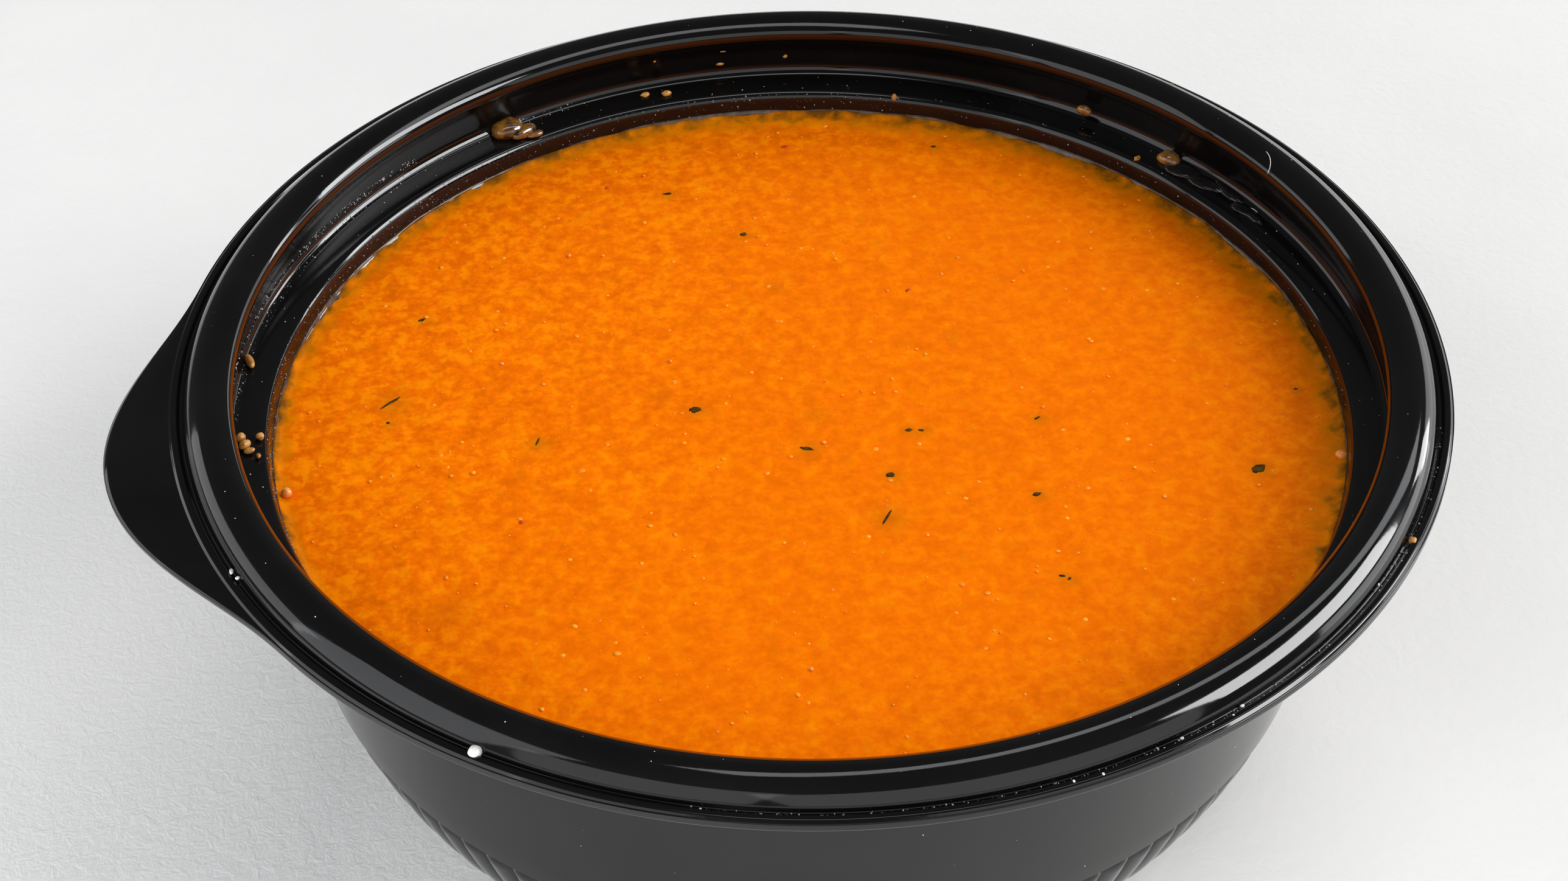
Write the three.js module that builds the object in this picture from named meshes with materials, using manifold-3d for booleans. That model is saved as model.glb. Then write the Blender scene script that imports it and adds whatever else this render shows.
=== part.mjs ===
// Tomato soup in a round take-away bowl with one finger tab.
// Millimetres, +Z up. The bowl stands on z = 0, its axis is x = y = 0 and its tab points along -X.

import * as THREE from 'three';
import { mergeVertices } from 'three/addons/utils/BufferGeometryUtils.js';
import Module from 'manifold-3d';

const wasm = await Module();
wasm.setup();

// Rim: a rounded bead round the mouth, with a flat flange outside it.
const rimHeight = 62.5;
const mouthRadius = 81.8;
const beadCrestRadius = 84.8;
const beadOuterRadius = 87.4;
const beadShoulderDrop = 1.2;
const beadFootRadius = 88.5;
const flangeRadius = 90.65;
const flangeTop = 59.3;
const flangeThickness = 1.2;

// Finger tab: a raised cosine that grows out of the flange.
const tabReach = 9;
const tabHalfSpan = THREE.MathUtils.degToRad(26);
const tabInnerRadius = 88;
const tabSkin = 0.1;
const tabSteps = 24;

// Inner wall: an upper wall, a narrow ledge and the long lower wall.
const ledgeOuterRadius = 83.2;
const ledgeOuterHeight = 52.4;
const ledgeInnerRadius = 77.6;
const ledgeInnerHeight = 51.4;
const wallThickness = 1;

// Body: a smooth band, a small step and a reeded part that curves in to the base.
const bandTopRadius = ledgeInnerRadius + wallThickness;
const bandBottomRadius = 74.9;
const bandBottomHeight = 20;
const stepDepth = 0.2;
const stepHeight = 0.5;
const baseRadius = 64.6;
const wallBulge = { upperRadius: 73.5, upperHeight: 14.4, lowerRadius: 68.9, lowerHeight: 2.2 };
const hollowRows = 4;
const innerStep = 2.5;

// Reeds: narrow convex ribs side by side, with domed tops, that fade out at the base.
const reedCount = 98;
const reedTurn = THREE.MathUtils.degToRad(1.3);
const reedColumns = 3;
const reedDepth = 0.9;
const reedRows = 4;
const reedDome = 0.7;
const reedTopSlope = 2;

// Soup: fills the bowl to its level and climbs a little where it wets the wall.
const soupLevel = 47.7;
const soupGap = 0.3;
const meniscusHeight = 0.6;
const meniscusWidth = 1.6;
const soupSwell = 0.16;
const skinRings = 7;
const fleckStandout = 0.25;

// Facets round the axis and along each rounded edge.
const rimFacets = 90;
const curveSteps = 3;
const soupFacets = 60;

// Bits of herb and pepper on the soup: place, size along and across, and turn in degrees.
const flecks = [
  { x: -6.1, y: 58.4, along: 1.5, across: 0.7, turn: -10 },
  { x: 2.5, y: 44.3, along: 1.2, across: 0.9, turn: 30 },
  { x: -50, y: 37.3, along: 1.1, across: 0.6, turn: 10 },
  { x: -58.2, y: 19.1, along: 3.6, across: 0.5, turn: 30 },
  { x: -15.9, y: 4.8, along: 1.6, across: 1.4, turn: 0 },
  { x: -2.7, y: -8.2, along: 2.2, across: 1.1, turn: -35 },
  { x: 6.8, y: -17, along: 1.4, across: 1.2, turn: 0 },
  { x: 12.4, y: -8.4, along: 2, across: 0.9, turn: 5 },
  { x: 25.3, y: -26.9, along: 1.3, across: 0.8, turn: 0 },
  { x: 3.7, y: -25.4, along: 3.4, across: 0.5, turn: 50 },
  { x: 31.2, y: -11.2, along: 1.6, across: 1, turn: 20 },
  { x: 57.3, y: -30.7, along: 2.2, across: 1.7, turn: 15 },
  { x: 23.2, y: -43.9, along: 1.4, across: 0.6, turn: -30 },
];

// Turns a mesh with shared vertices and no empty triangles into a solid with its faces pointing out.
function solidFrom(geometry) {
  geometry.deleteAttribute('normal');
  geometry.deleteAttribute('uv');
  const welded = mergeVertices(geometry, 1e-4);
  const position = welded.attributes.position;
  const index = welded.index.array;
  const corner = [new THREE.Vector3(), new THREE.Vector3(), new THREE.Vector3()];
  const triangles = [];
  let volume = 0;
  for (let i = 0; i < index.length; i += 3) {
    const [a, b, c] = [index[i], index[i + 1], index[i + 2]];
    if (a === b || b === c || c === a) continue;
    triangles.push([a, b, c]);
    corner.forEach((point, k) => point.fromBufferAttribute(position, index[i + k]));
    volume += corner[0].dot(corner[1].cross(corner[2]));
  }
  const outward = volume > 0 ? triangles : triangles.map(([a, b, c]) => [a, c, b]);
  return new wasm.Manifold(new wasm.Mesh({
    numProp: 3,
    vertProperties: new Float32Array(position.array),
    triVerts: new Uint32Array(outward.flat()),
  }));
}

function geometryFrom(solid) {
  const mesh = solid.getMesh();
  const geometry = new THREE.BufferGeometry();
  geometry.setAttribute('position', new THREE.BufferAttribute(mesh.vertProperties, 3));
  geometry.setIndex(new THREE.BufferAttribute(mesh.triVerts, 1));
  return geometry;
}

// Revolves a profile of (radius, height) points about +Z.
function revolve(points, facets) {
  return new THREE.LatheGeometry(points, facets).rotateX(Math.PI / 2);
}

function point(radius, height) {
  return new THREE.Vector2(radius, height);
}

// The curve of the lower wall's outside, from under the step down to the edge of the base.
function lowerWallCurve() {
  return new THREE.CubicBezierCurve(
    point(bandBottomRadius - stepDepth, bandBottomHeight - stepHeight),
    point(wallBulge.upperRadius, wallBulge.upperHeight),
    point(wallBulge.lowerRadius, wallBulge.lowerHeight),
    point(baseRadius, 0),
  );
}

// Everything outside the hollow, from the step up to the rim, filled to the axis.
function upperOutside() {
  const shoulder = rimHeight - beadShoulderDrop;
  const flangeUnder = flangeTop - flangeThickness;
  const ledgeUnder = ledgeInnerHeight - wallThickness;
  const path = new THREE.Path();
  path.moveTo(0, bandBottomHeight - stepHeight);
  path.lineTo(bandBottomRadius - stepDepth - reedDepth, bandBottomHeight - stepHeight);
  path.lineTo(bandBottomRadius, bandBottomHeight);
  path.lineTo(bandTopRadius, ledgeUnder);
  path.lineTo(ledgeOuterRadius + wallThickness, ledgeUnder + 0.8);
  path.lineTo(ledgeOuterRadius + wallThickness, flangeUnder);
  path.lineTo(flangeRadius - 0.3, flangeUnder);
  path.quadraticCurveTo(flangeRadius, flangeUnder + flangeThickness / 2, flangeRadius - 0.3, flangeTop);
  path.lineTo(beadFootRadius, flangeTop - 0.2);
  path.lineTo(beadOuterRadius, shoulder - 0.4);
  path.quadraticCurveTo(beadOuterRadius - 0.4, rimHeight - 0.1, beadCrestRadius, rimHeight);
  path.quadraticCurveTo(mouthRadius + 0.2, rimHeight - 0.1, mouthRadius, shoulder);
  path.lineTo(0, shoulder);
  return solidFrom(revolve(path.getPoints(curveSteps), rimFacets));
}

// The inner face from the middle of the floor up to the smooth wall, moved in by a clearance.
function lowerHollow(clearance) {
  const inset = wallThickness + reedDepth + clearance;
  const floor = wallThickness + clearance;
  const rise = lowerWallCurve().getPoints(hollowRows).reverse();
  const points = [point(0, floor)];
  for (const { x, y } of rise) {
    points.push(point(x - inset, floor + y));
  }
  points.push(point(bandBottomRadius - wallThickness - clearance, bandBottomHeight + innerStep));
  return points;
}

// Radius of the smooth inner wall between the reeded part and the ledge.
function innerWallRadius(height) {
  const low = bandBottomHeight + innerStep;
  const share = (height - low) / (ledgeInnerHeight - low);
  return THREE.MathUtils.lerp(bandBottomRadius - wallThickness, ledgeInnerRadius, share);
}

function bowlHollow() {
  const points = lowerHollow(0);
  points.push(point(ledgeInnerRadius, ledgeInnerHeight - 0.5));
  points.push(point(ledgeInnerRadius + 0.5, ledgeInnerHeight));
  points.push(point(ledgeOuterRadius - 0.6, ledgeOuterHeight));
  points.push(point(ledgeOuterRadius, ledgeOuterHeight + 0.7));
  points.push(point(mouthRadius, rimHeight - beadShoulderDrop));
  points.push(point(mouthRadius, rimHeight + 2));
  points.push(point(0, rimHeight + 2));
  return solidFrom(revolve(points, rimFacets));
}

// The reeded part, filled to the axis: a revolved profile whose columns step between rib and groove.
function reededOutside() {
  const rise = lowerWallCurve().getPoints(reedRows).reverse();
  const top = bandBottomHeight - stepHeight / 2;
  const profile = [point(0, 0), ...rise, point(rise[reedRows].x - reedTopSlope, top), point(0, top)];
  const geometry = new THREE.LatheGeometry(profile, reedCount * reedColumns);
  const position = geometry.attributes.position;
  const ringSize = profile.length;
  for (let column = 0; column <= reedCount * reedColumns; column++) {
    if (column % reedColumns !== 0) continue;
    for (let row = 1; row <= reedRows + 1; row++) {
      const i = column * ringSize + row;
      const depth = reedDepth * Math.min(1, (row - 1) / 2);
      const radius = Math.hypot(position.getX(i), position.getZ(i));
      const scale = (radius - depth) / radius;
      const dome = row === reedRows + 1 ? reedDome : 0;
      position.setXYZ(i, position.getX(i) * scale, position.getY(i) - dome, position.getZ(i) * scale);
    }
  }
  return solidFrom(geometry.rotateX(Math.PI / 2).rotateZ(reedTurn));
}

// A flat bell that runs out of the flange along -X.
function fingerTab() {
  const outline = new THREE.Shape();
  for (let step = 0; step <= tabSteps; step++) {
    const turn = THREE.MathUtils.lerp(-tabHalfSpan, tabHalfSpan, step / tabSteps);
    const reach = tabReach * Math.cos((turn / tabHalfSpan) * (Math.PI / 2)) ** 2;
    const radius = flangeRadius - 0.3 + reach;
    const x = radius * Math.cos(Math.PI + turn);
    const y = radius * Math.sin(Math.PI + turn);
    if (step === 0) outline.moveTo(x, y);
    else outline.lineTo(x, y);
  }
  outline.absarc(0, 0, tabInnerRadius, Math.PI + tabHalfSpan, Math.PI - tabHalfSpan, true);
  const depth = flangeThickness - 2 * tabSkin;
  const plate = new THREE.ExtrudeGeometry(outline, { depth, bevelEnabled: false, curveSegments: 10 });
  plate.translate(0, 0, flangeTop - flangeThickness + tabSkin);
  return solidFrom(plate);
}

function bowlGeometry() {
  const outside = upperOutside().add(reededOutside()).add(fingerTab());
  return geometryFrom(outside.subtract(bowlHollow()));
}

// Gentle unevenness of the soup's skin, nothing at the wall.
function swell(x, y) {
  const reach = innerWallRadius(soupLevel);
  const calm = 1 - Math.min(1, Math.hypot(x, y) / reach) ** 6;
  const wave = Math.sin(x / 9 + 1.1) * Math.cos(y / 7 - 0.4) + 0.6 * Math.sin((x - y) / 4.3);
  return soupSwell * calm * wave;
}

// One fleck: a low lens of herb, a bit wider at one end, half sunk in the soup.
function fleckSolid({ x, y, along, across, turn }) {
  const lens = new THREE.IcosahedronGeometry(1, 0);
  lens.scale(along / 2, across / 2, fleckStandout * 2);
  lens.rotateZ(THREE.MathUtils.degToRad(turn));
  lens.translate(x, y, soupLevel + swell(x, y) - fleckStandout / 2);
  return solidFrom(lens);
}

function soupGeometry() {
  const points = lowerHollow(soupGap);
  const wall = innerWallRadius(soupLevel) - soupGap;
  points.push(point(wall, soupLevel + meniscusHeight - 0.1));
  points.push(point(wall - 0.3, soupLevel + meniscusHeight));
  points.push(point(wall - meniscusWidth, soupLevel + 0.1));
  for (let ring = skinRings; ring >= 0; ring--) {
    points.push(point((ring / skinRings) * (wall - 2 * meniscusWidth), soupLevel));
  }
  const geometry = revolve(points, soupFacets);
  const position = geometry.attributes.position;
  for (let i = 0; i < position.count; i++) {
    if (Math.abs(position.getZ(i) - soupLevel) > 0.01) continue;
    position.setZ(i, soupLevel + swell(position.getX(i), position.getY(i)));
  }
  let soup = solidFrom(geometry);
  for (const fleck of flecks) {
    soup = soup.add(fleckSolid(fleck));
  }
  return geometryFrom(soup);
}

const blackPlastic = new THREE.MeshStandardMaterial({
  color: 0x111112,
  roughness: 0.18,
  metalness: 0,
  flatShading: true,
});

const tomatoSoup = new THREE.MeshStandardMaterial({
  color: 0xe87408,
  roughness: 0.45,
  metalness: 0,
  flatShading: true,
});

const bowl = new THREE.Mesh(bowlGeometry(), blackPlastic);
bowl.name = 'bowl';

const soup = new THREE.Mesh(soupGeometry(), tomatoSoup);
soup.name = 'soup';

const filledBowl = new THREE.Group();
filledBowl.name = 'tomato_soup';
filledBowl.add(bowl, soup);

export default filledBowl;
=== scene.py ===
import math
import random

import bpy
import numpy as np
from mathutils import Matrix, Vector


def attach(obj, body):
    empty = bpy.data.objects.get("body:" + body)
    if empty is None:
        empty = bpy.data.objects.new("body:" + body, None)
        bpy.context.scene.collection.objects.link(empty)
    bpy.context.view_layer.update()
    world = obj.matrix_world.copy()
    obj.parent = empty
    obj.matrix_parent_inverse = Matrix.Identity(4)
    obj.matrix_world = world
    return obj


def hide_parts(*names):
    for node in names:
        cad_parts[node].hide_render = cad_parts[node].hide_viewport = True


# Tomato soup in a black take-away bowl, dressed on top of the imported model.
# The model's frame: metres, +Z up, the bowl stands on z = 0 and its tab points along -X.
# Sizes below are in millimetres and angles in degrees.
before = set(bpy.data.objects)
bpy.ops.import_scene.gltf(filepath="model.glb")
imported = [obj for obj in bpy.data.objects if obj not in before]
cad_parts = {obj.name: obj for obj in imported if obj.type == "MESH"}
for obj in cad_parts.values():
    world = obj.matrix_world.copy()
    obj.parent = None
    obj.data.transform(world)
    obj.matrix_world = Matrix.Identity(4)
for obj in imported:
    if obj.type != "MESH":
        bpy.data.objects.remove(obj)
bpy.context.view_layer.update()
mm = 0.001


def smoothStep(low, high, value):
    share = np.clip((value - low) / (high - low), 0, 1)
    return share * share * (3 - 2 * share)


def plateau(low, lowFull, highFull, high, value):
    return smoothStep(low, lowFull, value) * smoothStep(high, highFull, value)


def cosSin(degrees):
    angle = math.radians(degrees)
    return math.cos(angle), math.sin(angle)


def newMaterial(name):
    made = bpy.data.materials.new(name)
    made.use_nodes = True
    return made, made.node_tree, made.node_tree.nodes["Principled BSDF"]


def fill(tree, node, sockets):
    # a socket gets either a plain value or another node's output
    for key, value in sockets.items():
        if isinstance(value, bpy.types.NodeSocket):
            tree.links.new(value, node.inputs[key])
        else:
            node.inputs[key].default_value = value


def addNode(tree, kind, settings=None, sockets=None):
    node = tree.nodes.new(kind)
    for key, value in (settings or {}).items():
        setattr(node, key, value)
    fill(tree, node, sockets or {})
    return node


def objectCoordinates(tree):
    return addNode(tree, "ShaderNodeTexCoord").outputs["Object"]


def noiseShade(tree, place, size, detail, roughness, distortion=0.0):
    # size is the width of one blotch in millimetres
    node = addNode(tree, "ShaderNodeTexNoise", None, {
        "Vector": place, "Scale": 1000 / size, "Detail": detail,
        "Roughness": roughness, "Distortion": distortion})
    return node.outputs["Fac"]


def ramp(tree, value, stops):
    node = addNode(tree, "ShaderNodeValToRGB", None, {"Fac": value})
    elements = node.color_ramp.elements
    while len(elements) < len(stops):
        elements.new(0.5)
    for element, (position, color) in zip(elements, stops):
        element.position = position
        element.color = (*color, 1.0)
    return node.outputs["Color"]


def mixColor(tree, share, first, second):
    # share is a node's output; the colours are plain or another node's output
    colors = [c if isinstance(c, bpy.types.NodeSocket) else (*c, 1.0) for c in (first, second)]
    node = addNode(tree, "ShaderNodeMix", {"data_type": "RGBA"}, {0: share, 6: colors[0], 7: colors[1]})
    return node.outputs[2]


def spread(tree, value, low, high, toLow=0.0, toHigh=1.0, kind="LINEAR"):
    node = addNode(tree, "ShaderNodeMapRange", {"interpolation_type": kind}, {
        "Value": value, "From Min": low, "From Max": high, "To Min": toLow, "To Max": toHigh})
    return node.outputs["Result"]


def calc(tree, operation, first, second=0.0, third=0.0):
    node = addNode(tree, "ShaderNodeMath", {"operation": operation}, {0: first, 1: second, 2: third})
    return node.outputs[0]


def times(tree, first, second):
    return calc(tree, "MULTIPLY", first, second)


def bumpFrom(tree, shader, height, strength, distance):
    bump = addNode(tree, "ShaderNodeBump", None, {
        "Strength": strength, "Distance": distance * mm, "Height": height})
    tree.links.new(bump.outputs["Normal"], shader.inputs["Normal"])


def attributeOf(tree, name):
    return addNode(tree, "ShaderNodeAttribute", {"attribute_name": name}).outputs["Fac"]


# gloss is the roughness between two kinds of patch; dulling is the roughness that a dull place gains;
# shine is the reflection level where clean and where dull
blackPlasticLook = {
    "color": (0.0024, 0.0022, 0.0022), "smudge": (0.0050, 0.0044, 0.0041), "smudgeSize": 22,
    "gloss": (0.045, 0.11), "glossPatch": 9, "dulling": 0.1, "shine": (0.5, 0.2), "ior": 1.52,
    "peel": 0.9, "peelStrength": 0.05, "peelDepth": 0.05,
}


def blackPlasticMaterial():
    look = blackPlasticLook
    made, tree, shader = newMaterial("blackPlastic")
    place = objectCoordinates(tree)
    smudges = noiseShade(tree, place, look["smudgeSize"], 4, 0.6, 0.6)
    # steam from the soup dulls the inside, dust the outside
    dullness = attributeOf(tree, "dull")
    patches = noiseShade(tree, place, look["glossPatch"], 5, 0.65)
    polish = spread(tree, patches, 0.3, 0.75, *look["gloss"])
    fill(tree, shader, {
        "Base Color": mixColor(tree, spread(tree, smudges, 0.35, 0.75), look["color"], look["smudge"]),
        "Roughness": calc(tree, "MULTIPLY_ADD", dullness, look["dulling"], polish),
        "Specular IOR Level": spread(tree, dullness, 0, 1, *look["shine"]), "IOR": look["ior"]})
    peel = noiseShade(tree, place, look["peel"], 2, 0.4)
    bumpFrom(tree, shader, peel, look["peelStrength"], look["peelDepth"])
    return made


soupLook = {
    "deep": (0.77, 0.135, 0.0002),
    "body": (0.92, 0.172, 0.0002),
    "pulp": (1.0, 0.255, 0.0006),
    # the margin and thin tones are partly the soup's own thin olive edge and partly painted shade where the
    # rim's shadow falls
    "marginAndShade": (0.60, 0.185, 0.0008),
    "thinAndShaded": (0.090, 0.038, 0.004),
    "olive": (0.48, 0.14, 0.001),
    "clumpSize": 2.1, "clumpTone": 1.35,
    "grainSize": 0.85, "grainTone": 0.7,
    "driftSize": 17, "driftTone": 0.2,
    "raggedSize": 3.4, "raggedness": 1.3,
    "roughness": 0.4, "wetRoughness": 0.12, "shine": 0.04, "ior": 1.34,
    "skin": 0.26, "skinDepth": 0.22,
}


def soupMaterial():
    look = soupLook
    made, tree, shader = newMaterial("tomatoSoup")
    place = objectCoordinates(tree)
    # clumps of pulp, a slow drift of tone and fine grain; the mottle attribute says how strong they are
    clumps = calc(tree, "SUBTRACT", noiseShade(tree, place, look["clumpSize"], 3, 0.55, 0.2), 0.5)
    drift = calc(tree, "SUBTRACT", noiseShade(tree, place, look["driftSize"], 3, 0.5), 0.5)
    grain = calc(tree, "SUBTRACT", noiseShade(tree, place, look["grainSize"], 3, 0.6), 0.5)
    tone = times(tree, drift, look["driftTone"])
    tone = calc(tree, "MULTIPLY_ADD", grain, look["grainTone"], tone)
    tone = calc(tree, "MULTIPLY_ADD", clumps, look["clumpTone"], tone)
    tone = calc(tree, "MULTIPLY_ADD", tone, attributeOf(tree, "mottle"), 0.5)
    color = ramp(tree, tone, [(0.28, look["deep"]), (0.49, look["body"]), (0.68, look["pulp"])])
    color = mixColor(tree, attributeOf(tree, "stain"), color, look["olive"])
    # the margin is ragged: fine noise moves the attribute that rises towards the wall up and down; the margin
    # and thin tones it mixes in are partly the soup's own thin edge and partly painted shade from the rim
    shoreAndShade = attributeOf(tree, "shoreAndShade")
    rough = calc(tree, "SUBTRACT", noiseShade(tree, place, look["raggedSize"], 4, 0.58), 0.5)
    ragged = calc(tree, "MULTIPLY_ADD", rough, look["raggedness"], shoreAndShade)
    color = mixColor(tree, spread(tree, ragged, 0.1, 0.85, 0.0, 0.85), color, look["marginAndShade"])
    color = mixColor(tree, spread(tree, ragged, 0.66, 1.05, 0.0, 0.9), color, look["thinAndShaded"])
    fill(tree, shader, {
        "Base Color": color, "Specular IOR Level": look["shine"], "IOR": look["ior"],
        "Roughness": spread(tree, shoreAndShade, 0.6, 1.0, look["roughness"], look["wetRoughness"])})
    fine = calc(tree, "MULTIPLY_ADD", noiseShade(tree, place, 3.2, 3, 0.5), 1.4,
                noiseShade(tree, place, 0.9, 4, 0.6))
    bumpFrom(tree, shader, fine, look["skin"], look["skinDepth"])
    return made


def speckMaterial(name, dark, light, roughness, size, shine=0.5):
    # blotches of two tones, each about size millimetres wide
    made, tree, shader = newMaterial(name)
    blotches = noiseShade(tree, objectCoordinates(tree), size, 3, 0.6)
    color = mixColor(tree, spread(tree, blotches, 0.35, 0.65), dark, light)
    fill(tree, shader, {"Base Color": color, "Roughness": roughness, "Specular IOR Level": shine})
    return made


paperLook = {
    "shade": (0.80, 0.80, 0.80), "light": (0.84, 0.84, 0.835), "cloudSize": 60, "roughness": 0.85,
    "grainSize": 2.2, "grain": 0.35, "grainDepth": 0.35,
}


def paperMaterial():
    look = paperLook
    made, tree, shader = newMaterial("palePaper")
    place = objectCoordinates(tree)
    clouds = noiseShade(tree, place, look["cloudSize"], 4, 0.55)
    color = mixColor(tree, spread(tree, clouds, 0.3, 0.7), look["shade"], look["light"])
    fill(tree, shader, {"Base Color": color, "Roughness": look["roughness"]})
    grain = noiseShade(tree, place, look["grainSize"], 5, 0.65, 0.5)
    bumpFrom(tree, shader, grain, look["grain"], look["grainDepth"])
    return made


blackPlastic = blackPlasticMaterial()
tomatoSoup = soupMaterial()
herbGreen = speckMaterial("driedHerb", (0.026, 0.013, 0.002), (0.11, 0.052, 0.004), 0.7, 0.8, 0.08)
pulpBit = speckMaterial("pulpBit", (0.95, 0.20, 0.0010), (1.0, 0.42, 0.012), 0.35, 1.0)
redBit = speckMaterial("redBit", (0.42, 0.03, 0.001), (0.62, 0.06, 0.002), 0.4, 1.0)
driedSauce = speckMaterial("driedSauce", (0.30, 0.10, 0.008), (0.62, 0.31, 0.07), 0.4, 1.2)
sauceDrop = speckMaterial("sauceDrop", (0.030, 0.013, 0.004), (0.36, 0.16, 0.020), 0.05, 2.6, 1.0)
clearWater = speckMaterial("clearWater", (0.006, 0.006, 0.006), (0.012, 0.010, 0.009), 0.03, 1.5)
# pale specks for condensation droplets: the droplets are real, their pale brightness is a painted glint
mistPaintedGlint = speckMaterial("mistPaintedGlint", (0.10, 0.11, 0.12), (0.52, 0.55, 0.60), 0.15, 1.2)
serum = speckMaterial("serum", (0.045, 0.030, 0.022), (0.13, 0.085, 0.060), 0.06, 1.8)
soupBubble = speckMaterial("soupBubble", (0.80, 0.22, 0.02), (0.95, 0.40, 0.12), 0.04, 0.8)
paleDust = speckMaterial("paleDust", (0.50, 0.49, 0.47), (0.80, 0.79, 0.77), 0.5, 0.8)
paper = paperMaterial()
print("materials made")


def addObject(name, data):
    made = bpy.data.objects.new(name, data)
    bpy.context.scene.collection.objects.link(made)
    return made


def newObject(name, vertices, faces, material, smooth=True):
    mesh = bpy.data.meshes.new(name)
    mesh.from_pydata(vertices, [], faces)
    mesh.materials.append(material)
    mesh.shade_smooth() if smooth else mesh.shade_flat()
    mesh.update()
    return addObject(name, mesh)


def keep(piece):
    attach(piece, "root")


def roundedPath(corners, step):
    # corners are (radius, height, fillet); every fillet becomes an arc with a point each step degrees
    path = []
    for index, (x, y, fillet) in enumerate(corners):
        here = Vector((x, y))
        if fillet == 0 or index in (0, len(corners) - 1):
            path.append((x, y))
            continue
        before = Vector(corners[index - 1][:2]) - here
        after = Vector(corners[index + 1][:2]) - here
        turn = math.pi - before.angle(after)
        reach = fillet * math.tan(turn / 2)
        reach = min(reach, 0.49 * before.length, 0.49 * after.length)
        radius = reach / math.tan(turn / 2)
        start = here + before.normalized() * reach
        end = here + after.normalized() * reach
        middle = (before.normalized() + after.normalized()).normalized()
        centre = here + middle * math.hypot(radius, reach)
        count = max(2, math.ceil(math.degrees(turn) / step))
        first = start - centre
        sign = 1 if first.x * (end - centre).y - first.y * (end - centre).x > 0 else -1
        for k in range(count + 1):
            angle = sign * turn * k / count
            c, s = math.cos(angle), math.sin(angle)
            path.append((centre.x + first.x * c - first.y * s, centre.y + first.x * s + first.y * c))
    return path


def subdividePath(path, longest):
    out = [path[0]]
    for (x0, y0), (x1, y1) in zip(path, path[1:]):
        pieces = max(1, math.ceil(math.hypot(x1 - x0, y1 - y0) / longest))
        for k in range(1, pieces + 1):
            out.append((x0 + (x1 - x0) * k / pieces, y0 + (y1 - y0) * k / pieces))
    return out


def quadRow(a, b, count, flipped=False):
    # quads between two closed rows of count vertices, which start at a and b
    quads = []
    for k in range(count):
        n = (k + 1) % count
        quads.append((a + k, a + n, b + n, b + k) if flipped else (a + k, b + k, b + n, a + n))
    return quads


def fan(tip, row, count, flipped=False):
    # triangles between a tip and a closed row
    pairs = [(row + k, row + (k + 1) % count) for k in range(count)]
    return [(tip, n, k) if flipped else (tip, k, n) for k, n in pairs]


def revolve(name, path, segments, material, shape):
    # path runs from the axis round to the axis again; shape moves the (x, y, z) rows in millimetres
    ring = np.array(path[1:-1])
    angle = np.linspace(0, 2 * math.pi, segments, endpoint=False)
    r, z = ring[:, 0][:, None], ring[:, 1][:, None]
    x, y = r * np.cos(angle), r * np.sin(angle)
    points = shape(np.stack([x, y, np.broadcast_to(z, x.shape)], -1))
    rows = len(ring)
    vertices = [tuple(p) for p in (points.reshape(-1, 3) * mm)]
    vertices.append((0, 0, path[0][1] * mm))
    vertices.append((0, 0, float(points[-1, :, 2].mean()) * mm))
    first, last = len(vertices) - 2, len(vertices) - 1
    faces = fan(first, 0, segments) + fan(last, (rows - 1) * segments, segments, True)
    for row in range(rows - 1):
        faces += quadRow(row * segments, (row + 1) * segments, segments)
    piece = newObject(name, vertices, faces, material)
    turnOutward(piece)
    return piece


def turnOutward(piece):
    # flips every face when the closed mesh has a negative volume
    mesh = piece.data
    mesh.calc_loop_triangles()
    co = np.array([v.co for v in mesh.vertices])
    tri = np.array([t.vertices for t in mesh.loop_triangles])
    a, b, c = co[tri[:, 0]], co[tri[:, 1]], co[tri[:, 2]]
    if np.einsum("ij,ij->i", a, np.cross(b, c)).sum() < 0:
        mesh.flip_normals()


bowl = {
    "nose": [(82.12, 58.2), (81.78, 58.7), (81.52, 59.2), (81.36, 59.7), (81.3, 60.15), (81.34, 60.47),
             (81.44, 60.79), (81.6, 61.08), (81.84, 61.36)],
    "crest": 84.3, "rimHeight": 62.48, "beadRound": 4.3, "beadEnd": 17.0,
    "groove": (88.62, 59.08), "lipCrest": (89.75, 59.52), "lipEnd": 90.42,
    "flange": 90.62, "flangeTop": 59.15, "flangeUnder": 58.15,
    "ledgeOuter": (83.2, 52.4), "ledgeInner": (77.6, 51.4),
    "wallLow": (73.9, 22.5), "wallThickness": 1.0,
    "bandTop": (78.6, 50.4), "bandBottom": (74.9, 20.0), "stepDepth": 0.2, "stepHeight": 0.5,
    "base": (64.6, 0.0), "bulgeUpper": (73.5, 14.4), "bulgeLower": (68.9, 2.2),
    "tabReach": 9.0, "tabHalfSpan": 26.0,
    "segments": 360, "arcStep": 8.0, "longest": 4.0,
}

# rows gather at the top, where each reed is a dome that starts narrower; fade and reach are shares of the way
# down, and the back of a reed is sunk into the wall
reeds = {
    "count": 98, "turn": 1.3, "depth": 0.9, "across": 8, "along": 12, "fullness": 2.3, "gap": 0.03,
    "dome": 0.07, "domeWidth": 0.7, "gather": 1.6, "fade": 0.8, "reach": 0.985, "sunk": 0.35,
}


def wallControl():
    # the curve of the reeds' crests, from under the step to the edge of the base
    r, z = bowl["bandBottom"]
    return [(r - bowl["stepDepth"], z - bowl["stepHeight"]),
            bowl["bulgeUpper"], bowl["bulgeLower"], bowl["base"]]


def bezier(controls, share):
    a, b, c, d = (np.array(p, float) for p in controls)
    u = 1 - share
    return u ** 3 * a + 3 * u * u * share * b + 3 * u * share * share * c + share ** 3 * d


def lowerWall(share):
    return bezier(wallControl(), share)


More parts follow.
